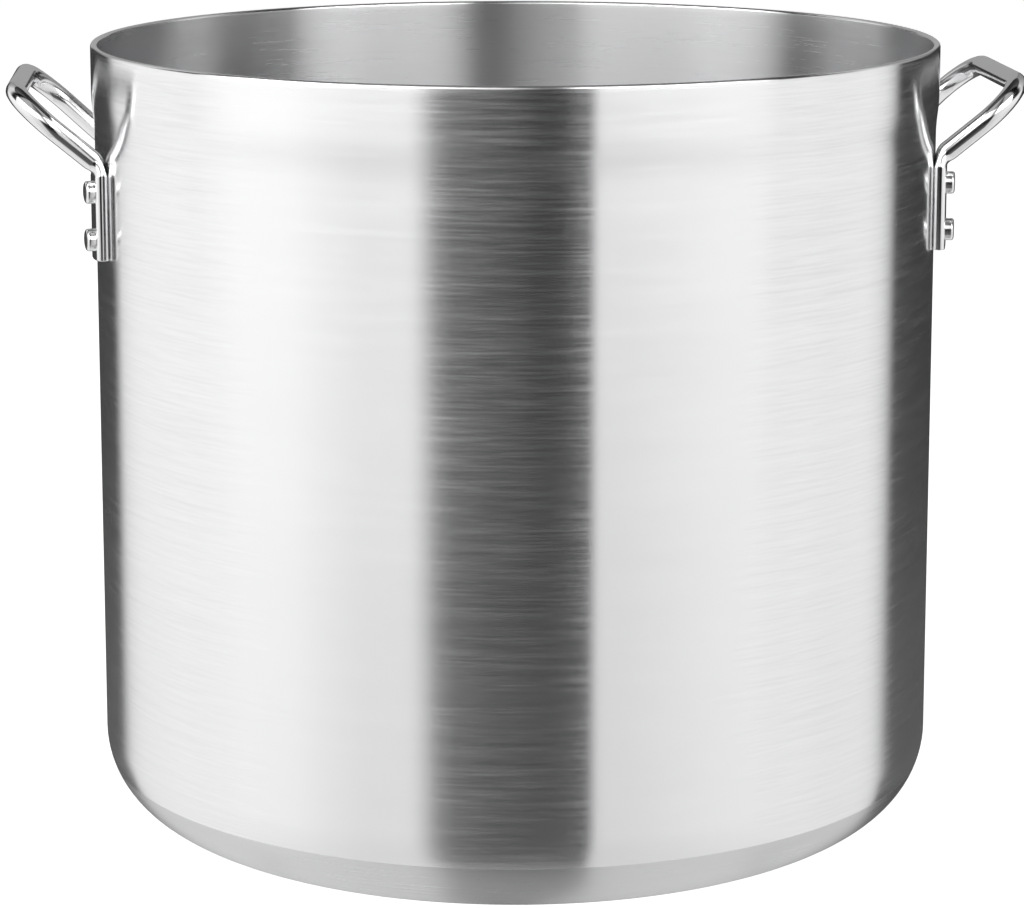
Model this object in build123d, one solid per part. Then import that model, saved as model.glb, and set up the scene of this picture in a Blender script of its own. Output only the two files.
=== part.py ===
from build123d import *
import math
import os

# Millimetres, +Z up, origin in the middle of the underside, handles on -X and +X.

# pot
pot_height = 402.0
outer_radius = 216.0
wall = 2.2
base_thickness = 4.0
base_corner_radius = 44.0
inner_corner_radius = 41.0

# thicker band round the rim
band_step = 1.4
band_height = 29.0
band_transition = 12.0
band_blend_radius = 60.0
rim_edge_radius = 1.5

# handles: a bar with both ends flattened into feet
foot_offset_y = 54.0
grip_offset_y = 66.0
foot_bottom_z = 298.5
bend_z = 345.5
slant_angle = 41.5
slant_length = 54.5
bend_radius = 11.0
grip_corner_radius = 23.0
bar_radius = 5.25
foot_half_thickness = 3.1
foot_half_width = 8.0
foot_bite = 0.2
foot_edge_radius = 0.9
section_points = 24

# how square a section of the bar is: 2 is an ellipse, higher is closer to a slab
foot_squareness = 5
swell_squareness = 3
bar_squareness = 2

# rivets
rivet_radius = 2.2
rivet_head_radius = 5.7
rivet_head_height = 4.2
rivet_head_edge = 1.4
rivet_inner_radius = 6.5
rivet_inner_height = 1.9
rivet_first = 10.0
rivet_spacing = 24.0
seat_overlap = 0.6

inner_radius = outer_radius - wall
band_radius = outer_radius + band_step
foot_centre_radius = outer_radius + foot_half_thickness - foot_bite
foot_angle = math.degrees(math.asin(foot_offset_y / foot_centre_radius))
foot_face_radius = foot_centre_radius + foot_half_thickness


def make_pot():
    """One spun shell: flat base, rounded corner, thin wall, thicker band at the rim."""
    band_bottom = pot_height - band_height
    wall_top = band_bottom - band_transition
    outline = Polyline(
        (0, 0),
        (outer_radius, 0),
        (outer_radius, wall_top),
        (band_radius, band_bottom),
        (band_radius, pot_height),
        (inner_radius, pot_height),
        (inner_radius, base_thickness),
        (0, base_thickness),
        close=True,
    )
    profile = make_face(outline)
    rounding = [
        (outer_radius, 0, base_corner_radius),
        (outer_radius, wall_top, band_blend_radius),
        (band_radius, band_bottom, band_blend_radius),
        (band_radius, pot_height, rim_edge_radius),
        (inner_radius, pot_height, rim_edge_radius),
        (inner_radius, base_thickness, inner_corner_radius),
    ]
    for x, y, radius in rounding:
        corner = profile.vertices().sort_by_distance((x, y, 0))[0]
        profile = fillet(corner, radius)
    return revolve(Plane.XZ * profile, Axis.Z)


def section(centre, outward, along, half_thickness, half_width, squareness):
    """A closed rounded section, square to the direction along."""
    power = 2 / squareness
    points = []
    for step in range(section_points):
        turn = 2 * math.pi * step / section_points
        across = math.copysign(abs(math.cos(turn)) ** power, math.cos(turn))
        sideways = math.copysign(abs(math.sin(turn)) ** power, math.sin(turn))
        points.append((half_thickness * across, half_width * sideways))
    plane = Plane(origin=centre, x_dir=outward, z_dir=along)
    return plane * make_face(Spline(*points, periodic=True))


def leg_points():
    """Points of the bar's centre line on the +Y leg: foot bottom, bend, grip corner."""
    angle = math.radians(foot_angle)
    foot_x = foot_centre_radius * math.cos(angle)
    slant = math.radians(slant_angle)
    grip_x = foot_x + slant_length * math.cos(slant)
    grip_z = bend_z + slant_length * math.sin(slant)
    bottom = Vector(foot_x, foot_offset_y, foot_bottom_z)
    bend = Vector(foot_x, foot_offset_y, bend_z)
    corner = Vector(grip_x, grip_offset_y, grip_z)
    return bottom, bend, corner


def square_to(direction, along):
    """The part of a direction that is square to another one."""
    return (direction - along * direction.dot(along)).normalized()


def make_leg():
    """The flattened foot, the bend where it swells into the bar, and the bar's first section."""
    bottom, bend, corner = leg_points()
    upward = Vector(0, 0, 1)
    outward = Vector(1, 0, 0).rotate(Axis.Z, foot_angle)
    slanted = (corner - bend).normalized()
    turn = math.radians(upward.get_angle(slanted))
    run = bend_radius * math.tan(turn / 2)
    bend_start = bend - upward * run
    bend_end = bend + slanted * run
    middle_along = (upward + slanted).normalized()
    away = (slanted - upward).normalized()
    middle = bend + away * bend_radius * (1 / math.cos(turn / 2) - 1)

    half_swell = (foot_half_thickness + bar_radius) / 2
    half_narrow = (foot_half_width + bar_radius) / 2
    foot_size = (foot_half_thickness, foot_half_width, foot_squareness)
    foot = extrude(
        section(bottom, outward, upward, *foot_size),
        amount=(bend_start - bottom).length,
        dir=upward,
    )
    end = foot.faces().sort_by(Axis.Z)[0]
    foot = fillet(end.edges(), foot_edge_radius)
    side = square_to(Vector(1, 0, 0), slanted)
    middle_side = square_to(outward, middle_along)
    foot_section = section(bend_start, outward, upward, *foot_size)
    middle_size = (half_swell, half_narrow, swell_squareness)
    middle_section = section(middle, middle_side, middle_along, *middle_size)
    bar_section = section(bend_end, side, slanted, bar_radius, bar_radius, bar_squareness)
    swell = loft([foot_section, middle_section, bar_section])
    return foot + swell, bar_section, bend_end, corner


def make_handle(pot):
    """The handle on the +X side, trimmed to the pot's wall, before its rivet holes."""
    leg, bar_section, bend_end, corner = make_leg()
    far_corner = Vector(corner.X, -corner.Y, corner.Z)
    far_end = Vector(bend_end.X, -bend_end.Y, bend_end.Z)
    centre_line = FilletPolyline(bend_end, corner, far_corner, far_end, radius=grip_corner_radius)
    bar = sweep(bar_section, path=centre_line)
    handle = leg + bar + mirror(leg, Plane.XZ)
    return handle - pot


def rivet_place(angle, height):
    """Places a shape built along +X on the radius at this angle and height."""
    return Pos(0, 0, height) * Rot(0, 0, angle)


def make_shank():
    """The rivet's straight middle, which is also the tool that makes its holes."""
    start = inner_radius - seat_overlap
    length = foot_face_radius + seat_overlap - start
    return Pos(start, 0, 0) * Rot(0, 90, 0) * Cylinder(
        rivet_radius,
        length,
        align=(Align.CENTER, Align.CENTER, Align.MIN),
    )


def make_outer_head():
    """A round head with a soft edge, started inside the foot and trimmed to its face later."""
    seat = foot_face_radius - seat_overlap
    head = Cylinder(
        rivet_head_radius,
        rivet_head_height + seat_overlap,
        align=(Align.CENTER, Align.CENTER, Align.MIN),
    )
    head = fillet(head.faces().sort_by(Axis.Z)[-1].edges(), rivet_head_edge)
    return Pos(seat, 0, 0) * Rot(0, 90, 0) * head


def make_inner_head():
    """A low domed head inside the pot, trimmed to the curve of the inner wall."""
    rise = rivet_inner_height
    dome_radius = (rivet_inner_radius**2 + rise**2) / (2 * rise)
    dome = Pos(inner_radius - rise + dome_radius, 0, 0) * Sphere(dome_radius)
    inside = Cylinder(inner_radius, 4 * rivet_inner_radius)
    return dome & inside


pot_body = make_pot()
right_handle = make_handle(pot_body)
shank = make_shank()
outer_head = make_outer_head()
inner_head = make_inner_head()

sides = [("left", 180.0), ("right", 0.0)]
legs = [("front", -1), ("back", 1)]
lower_rivet_z = foot_bottom_z + rivet_first
levels = [("lower", lower_rivet_z), ("upper", lower_rivet_z + rivet_spacing)]

pieces = {}
for side_name, side_angle in sides:
    whole_handle = Rot(0, 0, side_angle) * right_handle
    handle = whole_handle
    for leg_name, leg_side in legs:
        across = leg_side if side_name == "right" else -leg_side
        angle = side_angle + across * foot_angle
        for level_name, height in levels:
            place = rivet_place(angle, height)
            placed_shank = place * shank
            placed_head = place * outer_head - whole_handle
            rivet = placed_head + placed_shank + place * inner_head
            pieces[f"rivet_{side_name}_{leg_name}_{level_name}"] = rivet
            handle = handle - placed_shank
            pot_body = pot_body - placed_shank
    pieces[f"{side_name}_handle"] = handle
pieces["pot_body"] = pot_body

os.makedirs("parts", exist_ok=True)
for name, piece in pieces.items():
    solid = piece.solids()[0]
    solid.label = name
    export_step(solid, f"parts/{name}.step")
    print(name, len(piece.solids()), round(solid.volume, 1))
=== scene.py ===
import math
import bmesh
import bpy
from mathutils import Matrix, Vector


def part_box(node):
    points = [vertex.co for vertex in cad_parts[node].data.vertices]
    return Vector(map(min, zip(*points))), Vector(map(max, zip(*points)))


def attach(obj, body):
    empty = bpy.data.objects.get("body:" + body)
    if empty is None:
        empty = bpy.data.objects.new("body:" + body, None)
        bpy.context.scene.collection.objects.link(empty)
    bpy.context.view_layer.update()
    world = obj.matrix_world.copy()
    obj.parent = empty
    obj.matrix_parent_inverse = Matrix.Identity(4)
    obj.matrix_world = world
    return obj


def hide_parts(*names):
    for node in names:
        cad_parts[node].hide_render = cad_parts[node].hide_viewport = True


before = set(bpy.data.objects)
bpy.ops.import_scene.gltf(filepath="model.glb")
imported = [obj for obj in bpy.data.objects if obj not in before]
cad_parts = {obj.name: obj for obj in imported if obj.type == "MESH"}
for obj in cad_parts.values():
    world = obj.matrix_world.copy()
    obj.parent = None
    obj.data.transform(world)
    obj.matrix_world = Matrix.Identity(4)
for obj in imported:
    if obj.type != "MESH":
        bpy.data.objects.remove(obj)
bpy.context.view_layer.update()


def nothingSelected():
    if bpy.context.object and bpy.context.object.mode == "EDIT":
        bpy.ops.object.mode_set(mode="OBJECT")
    bpy.ops.object.select_all(action="DESELECT")


def named(name):
    piece = bpy.context.object
    piece.name = name
    piece.data.name = name
    return piece


def editPiece(piece, selectBy="FACE"):
    nothingSelected()
    bpy.context.view_layer.objects.active = piece
    piece.select_set(True)
    bpy.ops.object.mode_set(mode="EDIT")
    bpy.ops.mesh.select_mode(type=selectBy)
    bpy.ops.mesh.select_all(action="DESELECT")


def pick(piece, kind, wanted):
    # selects the faces, edges or verts that the test wants, and says how many
    bpy.ops.mesh.select_all(action="DESELECT")
    mesh = bmesh.from_edit_mesh(piece.data)
    chosen = [part for part in getattr(mesh, kind) if wanted(part)]
    for part in chosen:
        part.select_set(True)
    mesh.select_flush_mode()
    bmesh.update_edit_mesh(piece.data)
    return len(chosen)


def pickLoop(piece, height, radius, slack=2e-5):
    # the ring of edges at one height and radius round the Z axis
    def onLoop(edge):
        return all(
            abs(v.co.z - height) < slack and abs(math.hypot(v.co.x, v.co.y) - radius) < slack
            for v in edge.verts
        )
    bpy.ops.mesh.select_mode(type="EDGE")
    return pick(piece, "edges", onLoop)


def finishPiece(piece, finish, smoothAngle=35):
    # closes the piece: clean mesh, outward faces, place in the mesh, finish and ride
    editPiece(piece, "VERT")
    bpy.ops.mesh.select_all(action="SELECT")
    bpy.ops.mesh.remove_doubles(threshold=1e-6)
    bpy.ops.mesh.normals_make_consistent(inside=False)
    bpy.ops.object.mode_set(mode="OBJECT")
    bpy.ops.object.transform_apply(location=True, rotation=True, scale=True)
    bpy.ops.object.shade_smooth_by_angle(angle=math.radians(smoothAngle))
    piece.data.materials.clear()
    piece.data.materials.append(finish)
    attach(piece, "root")


class Wire:
    # one socket in a material, so that shader maths reads as plain sums
    def __init__(self, sheet, socket):
        self.sheet = sheet
        self.socket = socket

    def maths(self, operation, *values):
        sockets = {number: value for number, value in enumerate((self, *values))}
        return self.sheet.add("ShaderNodeMath", {"operation": operation}, sockets)

    def __add__(self, other):
        return self.maths("ADD", other)

    __radd__ = __add__

    def __mul__(self, other):
        return self.maths("MULTIPLY", other)

    __rmul__ = __mul__

    def __sub__(self, other):
        return self.maths("SUBTRACT", other)

    def __rsub__(self, other):
        return (self * -1) + other

    def __truediv__(self, other):
        return self.maths("DIVIDE", other)


class Sheet:
    # a new material and the one way its nodes are added
    def __init__(self, name):
        self.material = bpy.data.materials.new(name)
        self.material.use_nodes = True
        self.tree = self.material.node_tree
        self.tree.nodes.clear()

    def add(self, kind, settings, sockets, output=0):
        node = self.tree.nodes.new(kind)
        for key, value in settings.items():
            if key == "stops":
                ramp = node.color_ramp
                ramp.elements[0].position, ramp.elements[0].color = value[0]
                ramp.elements[1].position, ramp.elements[1].color = value[-1]
                for place, colour in value[1:-1]:
                    ramp.elements.new(place).color = colour
            else:
                setattr(node, key, value)
        for key, value in sockets.items():
            if isinstance(value, Wire):
                self.tree.links.new(value.socket, node.inputs[key])
            else:
                node.inputs[key].default_value = value
        return Wire(self, node.outputs[output]) if node.outputs else None

    def noise(self, vector, scale, detail, roughness=0.5):
        sockets = {"Vector": vector, "Scale": scale, "Detail": detail, "Roughness": roughness}
        return self.add("ShaderNodeTexNoise", {}, sockets)

    def spread(self, value, low, high):
        # stretches a noise about its middle to run from low to high
        sockets = {"Value": value, "From Min": 0.25, "From Max": 0.75, "To Min": low, "To Max": high}
        return self.add("ShaderNodeMapRange", {}, sockets)

    def mixColour(self, amount, first, second):
        return self.add("ShaderNodeMix", {"data_type": "RGBA"}, {0: amount, 6: first, 7: second}, 2)

    def finish(self, shader):
        self.add("ShaderNodeOutputMaterial", {}, {"Surface": shader})
        return self.material


satinMetal = {
    "bright": (0.93, 0.932, 0.936, 1),
    "dull": (0.912, 0.914, 0.919, 1),
    # the two inside colours are the outside colours darkened: painted shade inside the pot
    "inside": (0.735, 0.737, 0.742, 1),
    "insideDullShaded": (0.70, 0.702, 0.707, 1),
    "smoothLine": 0.155,
    "roughLine": 0.27,
    "insideRougher": 0.11,
    "scatter": 0.12,
    "stretch": 1.0,
    "lineSpacing": 0.0011,
    "lineLength": 0.036,
    "coarseScale": 0.33,
    "fineShare": 0.6,
    "bandSpacing": 0.045,
    "bandLength": 0.135,
    "roughDrift": 0.01,
    "middle": 0.001,  # keeps the direction round the axis defined at the very middle
    "bump": 0.00001,
}


def satinAluminium(name, radius, bright, dull, rougher=0.0):
    # fine lines run round the pot; their phase follows height on the wall and radius on the base
    sheet = Sheet(name)
    place = sheet.add("ShaderNodeTexCoord", {}, {}, 3)
    split = sheet.add("ShaderNodeSeparateXYZ", {}, {"Vector": place})
    x, y, z = (Wire(sheet, socket) for socket in split.socket.node.outputs)
    across = (x * x + y * y).maths("SQRT")
    away = across.maths("MAXIMUM", satinMetal["middle"])
    phase = z + across

    def ringPattern(turns, rise):
        sockets = {"X": x / away * turns, "Y": y / away * turns, "Z": phase * rise}
        return sheet.add("ShaderNodeCombineXYZ", {}, sockets)

    fineVector = ringPattern(radius / satinMetal["lineLength"], 1 / satinMetal["lineSpacing"])
    broadVector = ringPattern(radius / satinMetal["bandLength"], 1 / satinMetal["bandSpacing"])
    fine = sheet.noise(fineVector, 1.0, 4.0, 0.62)
    coarse = sheet.noise(fineVector, satinMetal["coarseScale"], 3.0, 0.6)
    broad = sheet.noise(broadVector, 1.0, 2.0)
    lines = fine * satinMetal["fineShare"] + coarse * (1 - satinMetal["fineShare"])
    # most of the metal is smooth, with a few rougher lines that scatter a little light all ways
    depth = sheet.spread(lines, 0, 1)
    roughStep = satinMetal["roughLine"] - satinMetal["smoothLine"]
    drift = sheet.spread(broad, -satinMetal["roughDrift"], satinMetal["roughDrift"])
    rough = depth * depth * roughStep + (satinMetal["smoothLine"] + rougher) + drift
    colour = sheet.mixColour(depth, bright, dull)
    bumpSockets = {"Strength": 1.0, "Distance": satinMetal["bump"], "Height": lines}
    bump = sheet.add("ShaderNodeBump", {}, bumpSockets)
    shader = sheet.add("ShaderNodeBsdfPrincipled", {}, {
        "Base Color": colour,
        "Metallic": 1 - depth * depth * satinMetal["scatter"],
        "Roughness": rough,
        "Anisotropic": satinMetal["stretch"],
        "Anisotropic Rotation": 0.25,
        "Normal": bump,
    })
    return sheet.finish(shader)


brightMetal = {
    "clean": (0.95, 0.95, 0.953, 1),
    "worn": (0.87, 0.872, 0.88, 1),
    "roughLow": 0.07,
    "roughHigh": 0.15,
    "markSize": 0.004,
    "smearSize": 0.024,
    "bump": 0.00004,
    "bumpStrength": 0.6,
}


def polishedAluminium(name, roughStep=0.0):
    # tumbled and polished metal: faint dimples and smears
    sheet = Sheet(name)
    place = sheet.add("ShaderNodeTexCoord", {}, {}, 3)
    smears = sheet.noise(place, 1 / brightMetal["smearSize"], 3.0)
    marks = sheet.noise(place, 1 / brightMetal["markSize"], 5.0, 0.6)
    mixed = smears * 0.5 + marks * 0.5
    rough = sheet.spread(mixed, brightMetal["roughLow"] + roughStep, brightMetal["roughHigh"] + roughStep)
    colour = sheet.mixColour(sheet.spread(mixed, 0, 1), brightMetal["clean"], brightMetal["worn"])
    bumpSockets = {
        "Strength": brightMetal["bumpStrength"], "Distance": brightMetal["bump"], "Height": smears,
    }
    bump = sheet.add("ShaderNodeBump", {}, bumpSockets)
    shader = sheet.add("ShaderNodeBsdfPrincipled", {}, {
        "Base Color": colour,
        "Metallic": 1.0,
        "Roughness": rough,
        "Normal": bump,
    })
    return sheet.finish(shader)


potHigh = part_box("pot_body")[1]
potShape = {
    "bandStep": 0.0014,
    "bandHeight": 0.029,
    "bandRamp": 0.012,
    "wall": 0.0022,
    "base": 0.004,
    "cornerOut": 0.044,
    "cornerIn": 0.041,
    "cornerOutSteps": 24,
    "cornerInSteps": 20,
    "rimEdge": 0.0015,
    "bandRound": 0.005,
    "edgeSteps": 6,
    "outerRingUp": 0.003,
    "innerRingUp": 0.005,
    "wallRingDown": 0.012,
    "rimRingDown": 0.004,
    "baseEdgeRing": 0.004,
    "baseRing": 0.045,
    "around": 288,
}
potHeight = potHigh[2]
bandRadius = potHigh[0]
wallRadius = bandRadius - potShape["bandStep"]
innerRadius = wallRadius - potShape["wall"]


def roundLoop(piece, height, radius, width, steps):
    pickLoop(piece, height, radius)
    bpy.ops.mesh.bevel(offset=width, offset_type="OFFSET", segments=steps, profile=0.5, affect="EDGES")


def makePot():
    shape = potShape
    bandLow = potHeight - shape["bandHeight"]
    wallTop = bandLow - shape["bandRamp"]
    bpy.ops.mesh.primitive_cylinder_add(
        vertices=shape["around"], radius=wallRadius, depth=wallTop, end_fill_type="NGON",
        location=(0, 0, wallTop / 2),
    )
    piece = named("potBody")
    bpy.ops.object.transform_apply(location=True, rotation=True, scale=True)
    editPiece(piece)
    pick(piece, "faces", lambda face: face.normal.z > 0.9)
    # the band steps out, then the rim closes over and the inside is sunk to the base
    bpy.ops.mesh.extrude_region_move(TRANSFORM_OT_translate={"value": (0, 0, shape["bandRamp"])})
    swell = bandRadius / wallRadius
    bpy.ops.transform.resize(value=(swell, swell, 1), center_override=(0, 0, bandLow))
    bpy.ops.mesh.extrude_region_move(TRANSFORM_OT_translate={"value": (0, 0, shape["bandHeight"])})
    bpy.ops.mesh.extrude_region_move(TRANSFORM_OT_translate={"value": (0, 0, 0)})
    narrow = innerRadius / bandRadius
    bpy.ops.transform.resize(value=(narrow, narrow, 1), center_override=(0, 0, potHeight))
    bpy.ops.mesh.extrude_region_move(TRANSFORM_OT_translate={"value": (0, 0, shape["base"] - potHeight)})
    roundLoop(piece, shape["base"], innerRadius, shape["cornerIn"], shape["cornerInSteps"])
    roundLoop(piece, 0, wallRadius, shape["cornerOut"], shape["cornerOutSteps"])
    roundLoop(piece, potHeight, bandRadius, shape["rimEdge"], shape["edgeSteps"])
    roundLoop(piece, potHeight, innerRadius, shape["rimEdge"], shape["edgeSteps"])
    roundLoop(piece, wallTop, wallRadius, shape["bandRound"], shape["edgeSteps"])
    roundLoop(piece, bandLow, bandRadius, shape["bandRound"], shape["edgeSteps"])
    # rings close to the rounded parts keep the wall's shading straight
    ringHeights = (
        shape["cornerOut"] + shape["outerRingUp"],
        shape["cornerIn"] + shape["base"] + shape["innerRingUp"],
        wallTop - shape["wallRingDown"],
        potHeight - shape["rimRingDown"],
    )
    for height in ringHeights:
        bpy.ops.mesh.select_all(action="SELECT")
        bpy.ops.mesh.bisect(plane_co=(0, 0, height), plane_no=(0, 0, 1))
    # rings on both flat sides of the base
    for up in (1, -1):
        bpy.ops.mesh.select_mode(type="FACE")
        pick(piece, "faces", lambda face: face.normal.z * up > 0.999 and len(face.verts) > 8)
        for ring in range(4):
            width = shape["baseEdgeRing"] if ring == 0 else shape["baseRing"]
            bpy.ops.mesh.inset(thickness=width, use_even_offset=True)
    nothingSelected()
    return piece


def paintShadeInside(piece, finish):
    # the inner wall and floor take the darker copy of the metal: painted shade inside the pot
    piece.data.materials.append(finish)
    for face in piece.data.polygons:
        middle = face.center
        withinWall = math.hypot(middle.x, middle.y) < innerRadius + 1e-5
        inside = withinWall and middle.z > potShape["base"] - 1e-5
        face.material_index = 1 if inside else 0


print("stage: pot body")
potBody = makePot()
outsideMetal = satinAluminium("satinAluminium", wallRadius, satinMetal["bright"], satinMetal["dull"])
# a darker copy of the same metal for the inside of the pot: painted shade
shadedInsideMetal = satinAluminium(
    "satinInsidePaintedShade", innerRadius, satinMetal["inside"], satinMetal["insideDullShaded"],
    satinMetal["insideRougher"],
)
finishPiece(potBody, outsideMetal, 30)
paintShadeInside(potBody, shadedInsideMetal)
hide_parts("pot_body")


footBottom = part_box("right_handle")[0][2]
handleShape = {
    "barRadius": 0.00525,
    "footThickness": 0.0062,
    "footWidth": 0.016,
    "footRound": 0.0026,
    "footSteps": 7,
    "footEdge": 0.0008,
    "footBite": 0.0002,
    "footHalfGap": 0.054,
    "gripHalfGap": 0.066,
    "bendHeight": 0.047,
    "bendRadius": 0.011,
    "slantAngle": 41.5,
    "slantLength": 0.0545,
    "cornerRadius": 0.023,
    "bendSteps": 12,
    "cornerSteps": 16,
}


def ringMiddle(piece):
    mesh = bmesh.from_edit_mesh(piece.data)
    spots = [v.co for v in mesh.verts if v.select]
    return sum(spots, Vector()) / len(spots)


def carryRing(piece, target):
    # draws the selected end face out to a new middle
    bpy.ops.mesh.extrude_region_move(TRANSFORM_OT_translate={"value": target - ringMiddle(piece)})


def spinRing(piece, centre, axis, angle):
    # spin counts its angle the other way round
    bpy.ops.mesh.spin(steps=1, angle=-angle, center=centre, axis=axis)


def sizeRing(piece, across, sideways, halfAcross, halfSideways):
    # scales the end face to the wanted half sizes along its own two directions
    mesh = bmesh.from_edit_mesh(piece.data)
    middle = ringMiddle(piece)
    spots = [v.co - middle for v in mesh.verts if v.select]
    nowAcross = max(abs(spot.dot(across)) for spot in spots)
    nowSideways = max(abs(spot.dot(sideways)) for spot in spots)
    frameRows = [list(across), list(sideways), list(across.cross(sideways))]
    bpy.ops.transform.resize(
        value=(halfAcross / nowAcross, halfSideways / nowSideways, 1),
        orient_matrix=frameRows, orient_matrix_type="GLOBAL", center_override=middle,
    )


def makeRightHandle():
    shape = handleShape
    halfThick, halfWide = shape["footThickness"] / 2, shape["footWidth"] / 2
    footRadius = wallRadius + halfThick - shape["footBite"]
    footTurn = math.asin(shape["footHalfGap"] / footRadius)
    slant = math.radians(shape["slantAngle"])
    up, inward = Vector((0, 0, 1)), Vector((0, -1, 0))
    bottom = Vector((footRadius * math.cos(footTurn), shape["footHalfGap"], footBottom))
    bend = bottom + up * shape["bendHeight"]
    reach = shape["slantLength"]
    cornerX, cornerZ = bend.x + reach * math.cos(slant), bend.z + reach * math.sin(slant)
    corner = Vector((cornerX, shape["gripHalfGap"], cornerZ))
    slanted = (corner - bend).normalized()
    bendTurn = up.angle(slanted)
    bendStart = bend - up * shape["bendRadius"] * math.tan(bendTurn / 2)
    bendAxis = up.cross(slanted).normalized()
    bendCentre = bendStart + bendAxis.cross(up) * shape["bendRadius"]
    cornerTurn = slanted.angle(inward)
    cornerStart = corner - slanted * shape["cornerRadius"] * math.tan(cornerTurn / 2)
    cornerAxis = slanted.cross(inward).normalized()
    cornerCentre = cornerStart + cornerAxis.cross(slanted) * shape["cornerRadius"]

    # the foot's section: a slab with rounded corners, set square to the pot's radius
    bpy.ops.mesh.primitive_plane_add(size=1, location=bottom, rotation=(0, 0, footTurn))
    piece = named("rightHandle")
    piece.scale = (shape["footThickness"], shape["footWidth"], 1)
    bpy.ops.object.transform_apply(location=True, rotation=True, scale=True)
    editPiece(piece, "VERT")
    bpy.ops.mesh.select_all(action="SELECT")
    bpy.ops.mesh.bevel(offset=shape["footRound"], segments=shape["footSteps"], affect="VERTICES")
    bpy.ops.mesh.select_mode(type="EDGE")
    pick(piece, "edges", lambda edge: edge.calc_length() > halfWide)
    bpy.ops.mesh.subdivide(number_cuts=5)
    pick(piece, "edges", lambda edge: abs(edge.calc_length() - 2 * (halfThick - shape["footRound"])) < 5e-5)
    bpy.ops.mesh.subdivide(number_cuts=1)
    bpy.ops.mesh.select_mode(type="FACE")
    bpy.ops.mesh.select_all(action="SELECT")
    carryRing(piece, bendStart)

    # round the bend ring by ring, swelling from slab to round bar
    steps = shape["bendSteps"]
    outward = Vector((math.cos(footTurn), math.sin(footTurn), 0))
    bar = shape["barRadius"]
    for step in range(1, steps + 1):
        spinRing(piece, bendCentre, bendAxis, bendTurn / steps)
        turned = Matrix.Rotation(bendTurn * step / steps, 3, bendAxis)
        across, sideways = turned @ outward, turned @ up.cross(outward)
        share = step / steps
        eased = share * share * (3 - 2 * share)
        halfAcross = halfThick + (bar - halfThick) * eased
        halfSideways = halfWide + (bar - halfWide) * eased
        sizeRing(piece, across, sideways, halfAcross, halfSideways)
        bpy.ops.transform.tosphere(value=1 / (steps - step + 1))
        sizeRing(piece, across, sideways, halfAcross, halfSideways)

    # up the slope, round the corner and along to the middle of the grip
    carryRing(piece, cornerStart)
    for step in range(shape["cornerSteps"]):
        spinRing(piece, cornerCentre, cornerAxis, cornerTurn / shape["cornerSteps"])
    end = ringMiddle(piece)
    carryRing(piece, Vector((end.x, 0, end.z)))
    bpy.ops.mesh.delete(type="FACE")
    bpy.ops.object.mode_set(mode="OBJECT")
    mirror = piece.modifiers.new("otherLeg", "MIRROR")
    mirror.use_axis = (False, True, False)
    mirror.merge_threshold = 1e-5
    bpy.ops.object.modifier_apply(modifier=mirror.name)
    editPiece(piece)
    pick(piece, "faces", lambda face: len(face.verts) > 8 and abs(face.normal.z) > 0.99)
    bpy.ops.mesh.region_to_loop()
    bpy.ops.mesh.bevel(offset=shape["footEdge"], segments=4, affect="EDGES")
    nothingSelected()
    return piece


def copyTurned(piece, name, turn, lift=0.0):
    # a copy with its own mesh, turned about the pot's axis
    copied = piece.copy()
    copied.data = piece.data.copy()
    copied.name = copied.data.name = name
    bpy.context.collection.objects.link(copied)
    copied.matrix_world = Matrix.Translation((0, 0, lift)) @ Matrix.Rotation(turn, 4, "Z")
    nothingSelected()
    bpy.context.view_layer.objects.active = copied
    copied.select_set(True)
    bpy.ops.object.transform_apply(location=True, rotation=True, scale=True)
    return copied


print("stage: handles")
handleMetal = polishedAluminium("polishedHandle")
rightHandle = makeRightHandle()
leftHandle = copyTurned(rightHandle, "leftHandle", math.pi)
for piece, node in ((rightHandle, "right_handle"), (leftHandle, "left_handle")):
    finishPiece(piece, handleMetal, 50)
    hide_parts(node)


rivetShape = {
    "shankRadius": 0.0022,
    "headRadius": 0.0057,
    "headHeight": 0.0042,
    "headSteps": 6,
    "headEdge": 0.0014,
    "innerRadius": 0.0065,
    "innerHeight": 0.0019,
    "around": 40,
    "domeRings": 6,
    "rougher": 0.06,
}


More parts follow.
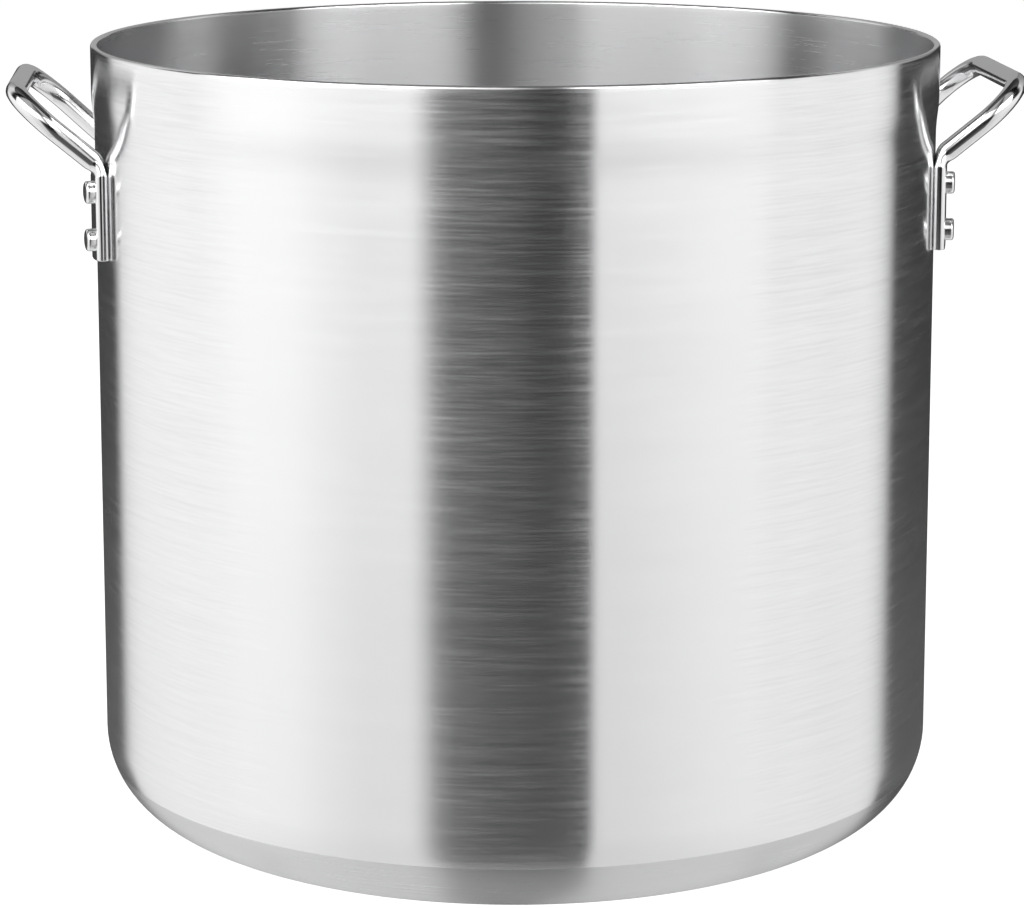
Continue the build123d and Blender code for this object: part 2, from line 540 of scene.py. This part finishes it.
def makeRivet():
    # built on the +X radius at height zero: shank, flat outer head, low dome inside the pot
    shape = rivetShape
    footFace = wallRadius + handleShape["footThickness"] - handleShape["footBite"]
    length = footFace - innerRadius
    bpy.ops.mesh.primitive_cylinder_add(
        vertices=shape["around"], radius=shape["shankRadius"], depth=length, end_fill_type="NGON",
        location=((innerRadius + footFace) / 2, 0, 0), rotation=(0, math.pi / 2, 0),
    )
    piece = named("rivet")
    bpy.ops.object.transform_apply(location=True, rotation=True, scale=True)
    editPiece(piece)

    def widen(middle, now, wanted):
        grow = wanted / now
        bpy.ops.transform.resize(value=(1, grow, grow), center_override=middle)

    pick(piece, "faces", lambda face: face.normal.x > 0.9)
    bpy.ops.mesh.extrude_region_move(TRANSFORM_OT_translate={"value": (0, 0, 0)})
    widen((footFace, 0, 0), shape["shankRadius"], shape["headRadius"])
    bpy.ops.mesh.extrude_region_move(TRANSFORM_OT_translate={"value": (shape["headHeight"], 0, 0)})
    bpy.ops.mesh.region_to_loop()
    bpy.ops.mesh.bevel(offset=shape["headEdge"], segments=shape["headSteps"], affect="EDGES")
    bpy.ops.mesh.select_mode(type="FACE")

    def atInnerWall(face):
        return face.normal.x < -0.9 and face.calc_center_median().x < innerRadius + 1e-5

    pick(piece, "faces", atInnerWall)
    bpy.ops.mesh.extrude_region_move(TRANSFORM_OT_translate={"value": (0, 0, 0)})
    widen((innerRadius, 0, 0), shape["shankRadius"], shape["innerRadius"])
    reach = shape["innerRadius"]
    ringTurn = math.pi / 2 / (shape["domeRings"] + 0.5)
    for ring in range(1, shape["domeRings"] + 1):
        turn = ringTurn * ring
        rise = shape["innerHeight"] * (math.sin(turn) - math.sin(turn - ringTurn))
        bpy.ops.mesh.extrude_region_move(TRANSFORM_OT_translate={"value": (-rise, 0, 0)})
        wanted = shape["innerRadius"] * math.cos(turn)
        widen(ringMiddle(piece), reach, wanted)
        reach = wanted
    nothingSelected()
    return piece


print("stage: rivets")
rivetMetal = polishedAluminium("polishedRivet", rivetShape["rougher"])
rivet = makeRivet()
for side in ("left", "right"):
    for leg in ("front", "back"):
        for level in ("lower", "upper"):
            node = f"rivet_{side}_{leg}_{level}"
            low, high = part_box(node)
            middle = (Vector(low) + Vector(high)) / 2
            name = "rivet" + side.title() + leg.title() + level.title()
            copied = copyTurned(rivet, name, math.atan2(middle.y, middle.x), middle.z)
            finishPiece(copied, rivetMetal, 40)
            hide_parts(node)
bpy.data.objects.remove(rivet)


studioCamera = {
    "lens": 120.48,
    "shiftAcross": -0.00322,
    "shiftDown": -0.15039,
    "distance": 8.15,
    "height": 2.678,
    "pitch": 10.09,
    "turn": 4.6,
    "sensor": 36.0,
}
studio = {
    "floorRadius": 15.0,
    "backdropRadius": 14.5,
    "backdropLow": -1.0,
    "backdropHigh": 12.0,
    "floorGrey": 0.55,
    "floorGlow": 0.97,
    "topLight": {"watts": 60.0, "side": 4.0, "height": 3.0},
    "around": 96,
    "air": 0.02,
    "cardRadius": 3.2,
    "cardLow": -4.5,
    "cardHigh": 3.4,
    "above": 0.14,
    "rearCard": {
        "width": 2.1, "bottom": 0.33, "top": 3.3, "back": 2.9, "across": 0.15, "level": 0.36,
    },
    # brightness of the soft wall by the angle from the camera's side, leftwards below zero
    "wall": (
        (-180, 0.03), (-137, 0.045), (-131, 0.80), (-124, 0.92), (-118, 0.96), (-100, 1.02), (-75, 1.02),
        (-60, 0.97), (-50, 0.87), (-40, 0.79), (-27, 0.78), (-24, 0.58), (-22, 0.35), (-20, 0.18),
        (-16, 0.06), (-6, 0.015), (4, 0.01), (14, 0.01), (19, 0.02), (20.7, 0.74), (27, 0.73),
        (35, 0.77), (50, 0.86), (65, 0.94), (80, 0.95), (90, 0.92), (106, 0.91), (113, 0.83),
        (117, 0.60), (121, 0.05), (135, 0.03), (180, 0.03),
    ),
    # the same above the rim's height, where the inside of the pot looks
    "upper": (
        (-180, 0.15), (-146, 0.35), (-130, 0.75), (-119, 0.7), (-113, 0.35), (-108, 0.02), (-91, 0.01),
        (-89, 1.6), (-80, 2.9), (-60, 3.2), (-37, 3.1), (-23, 3.2), (-19, 1.9), (-8, 1.5), (-2, 1.15),
        (2, 0.75), (6, 0.3), (13, 0.25), (16, 2.1), (24, 2.9), (35, 3.1), (55, 2.9), (68, 2.4),
        (72, 0.02), (98, 0.01), (104, 0.4), (110, 0.7), (120, 0.5), (140, 0.3), (155, 0.25), (180, 0.15),
    ),
    "upperFrom": 0.8,
    "upperFull": 1.2,
    # how much of the floor's even grey shows in the wall at each height
    "floorLevel": 0.4,
    "lowLevel": 0.8,
    "floorShare": ((-4.5, 0.49), (-3.3, 0.22), (-0.9, 0.2), (-0.5, 0.06), (0.1, 0.0)),
    # how far the dark gap widens into an even strip below
    "spreadFrom": -1.2,
    "spreadFull": -3.6,
    "spreadMost": 0.5,
    "spreadReach": 4.0,
}


def lightCard(piece, seenBy=("glossy",)):
    # cards are out of the camera's sight
    piece.visible_camera = "camera" in seenBy
    piece.visible_glossy = "glossy" in seenBy
    piece.visible_diffuse = "diffuse" in seenBy
    piece.visible_shadow = False
    piece.visible_transmission = False
    return piece


def glowMaterial(name, level):
    sheet = Sheet(name)
    sockets = {"Color": (level, level, level, 1), "Strength": 1.0}
    return sheet.finish(sheet.add("ShaderNodeEmission", {}, sockets))


def wallMaterial(name, even, strength=1.0):
    # glow set by the angle round the pot, and evened out towards the floor
    sheet = Sheet(name)
    place = sheet.add("ShaderNodeTexCoord", {}, {}, 3)
    split = sheet.add("ShaderNodeSeparateXYZ", {}, {"Vector": place})
    x, y, z = (Wire(sheet, socket) for socket in split.socket.node.outputs)
    low, high = studio["cardLow"], studio["cardHigh"]

    def byHeight(first, last, least, most):
        sockets = {"Value": z, "From Min": first, "From Max": last, "To Min": least, "To Max": most}
        return sheet.add("ShaderNodeMapRange", {}, sockets)

    spread = byHeight(studio["spreadFrom"], studio["spreadFull"], 0.0, studio["spreadMost"])
    front = y * -1 * (1 - spread) + spread * studio["spreadReach"]
    turnShare = x.maths("ARCTAN2", front) / (2 * math.pi) + 0.5

    def byTurn(levels):
        stops = [((degrees + 180) / 360, (level, level, level, 1)) for degrees, level in levels]
        return sheet.add("ShaderNodeValToRGB", {"stops": stops}, {"Fac": turnShare})

    upper = byHeight(studio["upperFrom"], studio["upperFull"], 0.0, 1.0)
    wall = sheet.mixColour(upper, byTurn(studio["wall"]), byTurn(studio["upper"]))
    tall = high - low
    heightStops = [
        ((height - low) / tall, (share, share, share, 1)) for height, share in studio["floorShare"]
    ]
    share = sheet.add("ShaderNodeValToRGB", {"stops": heightStops}, {"Fac": (z - low) / tall})
    colour = sheet.mixColour(share, wall, (even, even, even, 1))
    return sheet.finish(sheet.add("ShaderNodeEmission", {}, {"Color": colour, "Strength": strength}))


def openTube(name, radius, low, high, material):
    nothingSelected()
    bpy.ops.mesh.primitive_cylinder_add(
        vertices=studio["around"], radius=radius, depth=high - low, end_fill_type="NOTHING",
        location=(0, 0, (low + high) / 2), rotation=(0, 0, -math.radians(studioCamera["turn"])),
    )
    piece = named(name)
    bpy.ops.object.transform_apply(location=True, rotation=False, scale=True)
    piece.data.materials.append(material)
    return piece


def disc(name, radius, height, material):
    nothingSelected()
    bpy.ops.mesh.primitive_circle_add(
        vertices=studio["around"], radius=radius, fill_type="NGON", location=(0, 0, height),
    )
    piece = named(name)
    bpy.ops.object.transform_apply(location=True, rotation=False, scale=True)
    piece.data.materials.append(material)
    return piece


print("stage: floor and light")
floorSheet = Sheet("paleFloor")
grey = studio["floorGrey"]
floorMaterial = floorSheet.finish(floorSheet.add("ShaderNodeBsdfPrincipled", {}, {
    "Base Color": (grey, grey, grey, 1), "Roughness": 0.9,
    "Emission Color": (1, 1, 1, 1), "Emission Strength": studio["floorGlow"],
}))
floor = disc("floor", studio["floorRadius"], 0, floorMaterial)
floor.visible_glossy = False
backdropGlow = glowMaterial("paleBackdrop", 1.0)
backdrop = openTube(
    "backdrop", studio["backdropRadius"], studio["backdropLow"], studio["backdropHigh"], backdropGlow,
)
lightCard(backdrop, ("camera",))
wallGlow = wallMaterial("softWall", studio["floorLevel"])
lowGlow = wallMaterial("lowCard", studio["lowLevel"])
highGlow = wallMaterial("highCard", studio["floorLevel"], studio["above"])
radius, low, high = studio["cardRadius"], studio["cardLow"], studio["cardHigh"]
softWall = lightCard(openTube("softWall", radius, low, high, wallGlow))
lowCard = lightCard(disc("lowCard", radius, low, lowGlow))
highCard = lightCard(disc("highCard", radius, high, highGlow))
nothingSelected()
# a grey card behind, which the grips and the rim reflect
card = studio["rearCard"]
cardHeight = card["top"] - card["bottom"]
bpy.ops.mesh.primitive_plane_add(
    size=1, location=(card["across"], card["back"], card["bottom"] + cardHeight / 2),
    rotation=(math.pi / 2, 0, 0),
)
rearCard = lightCard(named("rearCard"))
rearCard.scale = (card["width"], cardHeight, 1)
rearCard.data.materials.append(glowMaterial("rearCard", card["level"]))
nothingSelected()
bpy.ops.object.light_add(type="AREA", location=(0, 0, studio["topLight"]["height"]))
topLight = bpy.context.object
topLight.name = "topLight"
topLight.data.shape = "SQUARE"
topLight.data.size = studio["topLight"]["side"]
topLight.data.energy = studio["topLight"]["watts"]
topLight.visible_glossy = False
world = bpy.data.worlds.new("studioAir")
bpy.context.scene.world = world
world.use_nodes = True
world.node_tree.nodes["Background"].inputs["Strength"].default_value = studio["air"]

print("stage: camera")
turn = -math.radians(studioCamera["turn"])
distance = studioCamera["distance"] * wallRadius
bpy.ops.object.camera_add(
    location=(distance * math.sin(turn), -distance * math.cos(turn), studioCamera["height"] * wallRadius),
    rotation=(math.pi / 2 - math.radians(studioCamera["pitch"]), 0, turn),
)
camera = bpy.context.object
camera.data.sensor_width = studioCamera["sensor"]
camera.data.lens = studioCamera["lens"]
camera.data.shift_x = studioCamera["shiftAcross"]
camera.data.shift_y = studioCamera["shiftDown"]
camera.data.clip_end = 100
bpy.context.scene.camera = camera
bpy.context.scene.view_settings.view_transform = "Standard"
